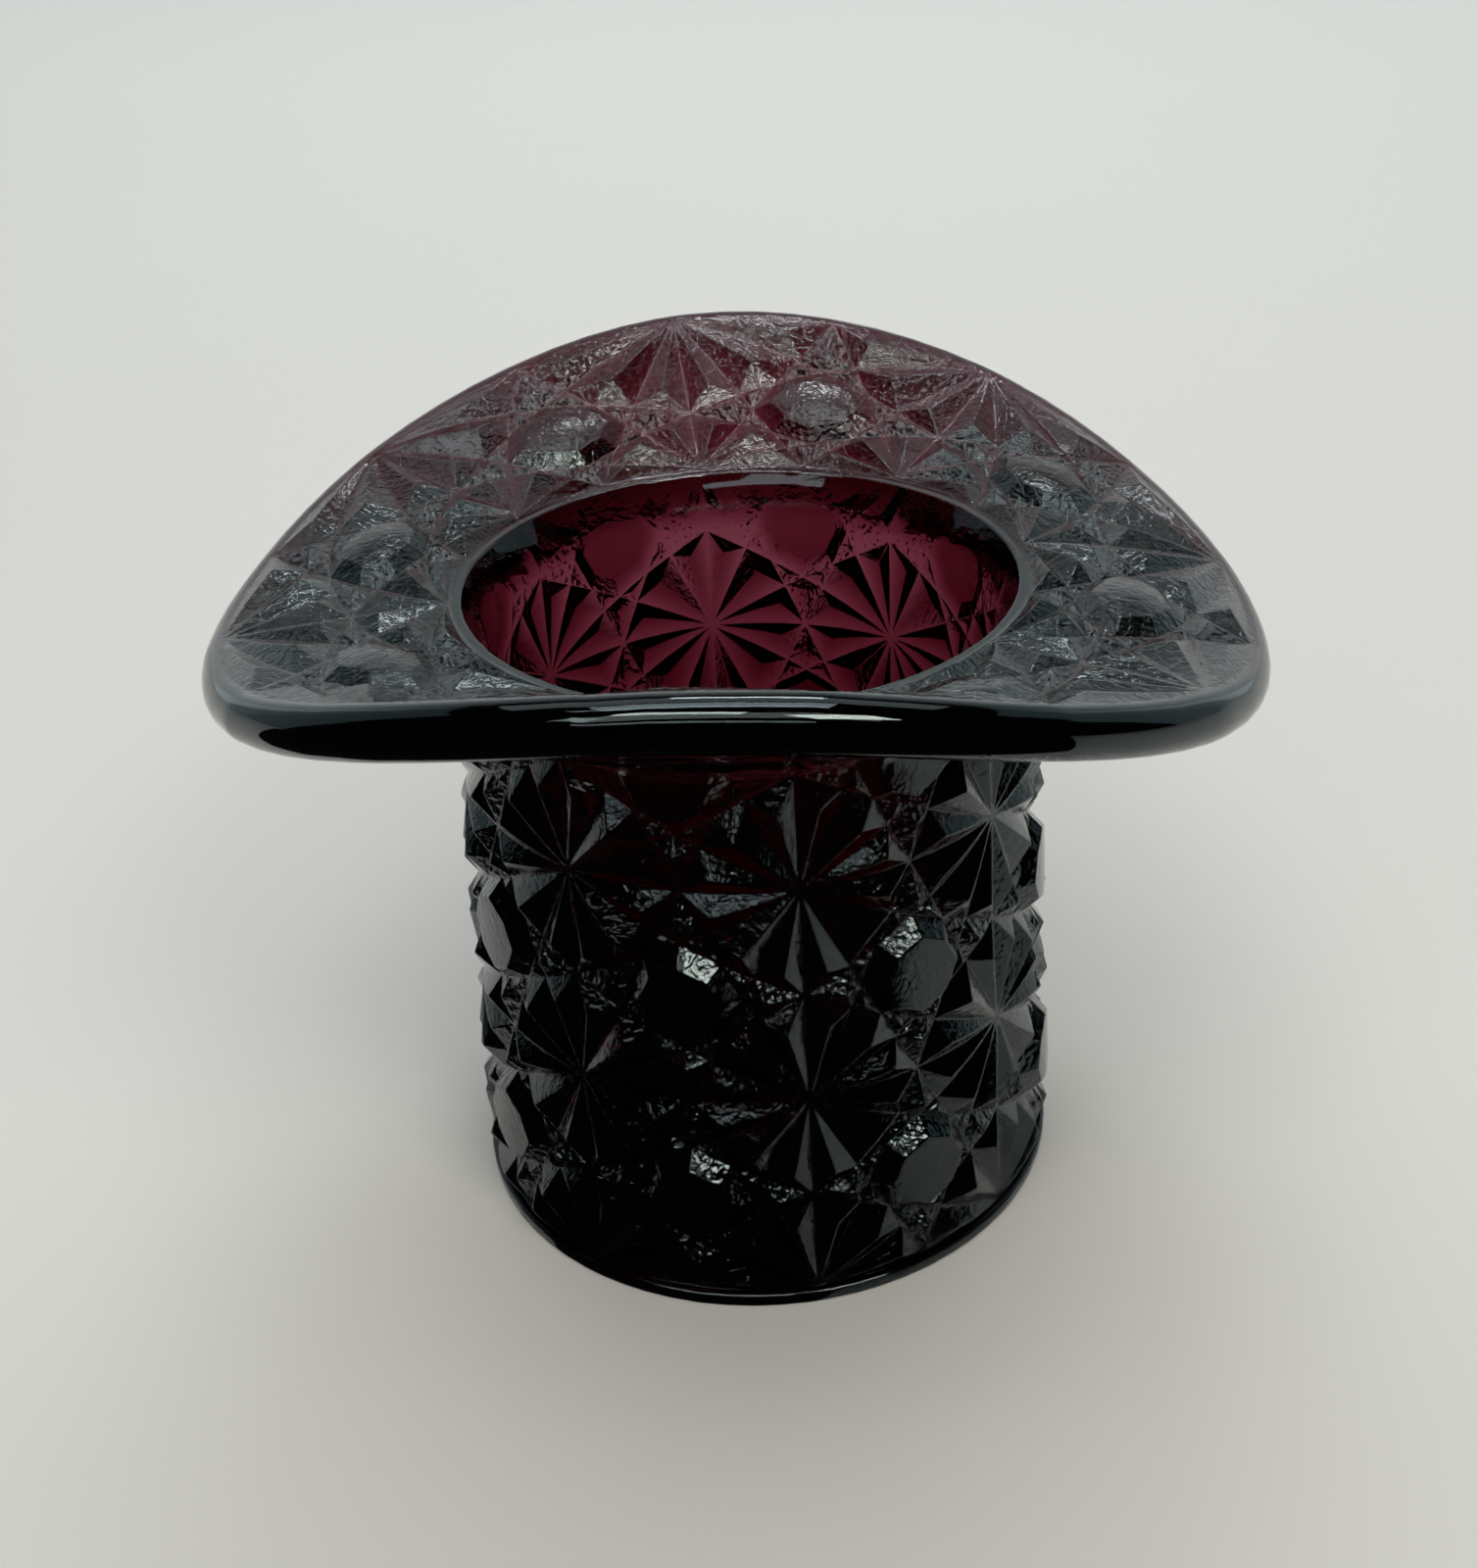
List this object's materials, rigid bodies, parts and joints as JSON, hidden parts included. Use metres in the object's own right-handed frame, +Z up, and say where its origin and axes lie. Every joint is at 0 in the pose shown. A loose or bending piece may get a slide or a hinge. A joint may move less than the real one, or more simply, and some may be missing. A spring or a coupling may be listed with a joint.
{
  "type": "glass hat vase",
  "caption": "Pressed-glass top hat that stands on its crown as a small vase, with a saddle-shaped brim, a smooth inside and a daisy and button relief outside and on top of the brim.",
  "frame": {"origin": "middle of the foot, on the surface that the hat stands on", "axes": "+Z up through the mouth, +X along the brim's drooping sides, the front of the picture is -Y"},
  "size_m": [0.1097, 0.1032, 0.0833],
  "materials": {
    "amethyst_glass": "fire-polished pressed glass, deep amethyst, clear"
  },
  "bodies": {
    "root": {"crown_floor": "amethyst_glass", "crown_wall": "amethyst_glass", "mouth_flare": "amethyst_glass", "brim_plate": "amethyst_glass", "rim_bead": "amethyst_glass", "daisies_foot": "amethyst_glass", "daisies_lower": "amethyst_glass", "daisies_upper": "amethyst_glass", "daisies_mouth": "amethyst_glass", "daisies_rim": "amethyst_glass", "buttons_lower": "amethyst_glass", "buttons_middle": "amethyst_glass", "buttons_upper": "amethyst_glass", "buttons_brim": "amethyst_glass", "stars_lower": "amethyst_glass", "stars_middle": "amethyst_glass", "stars_upper": "amethyst_glass", "stars_brim": "amethyst_glass"}
  },
  "joints": []
}
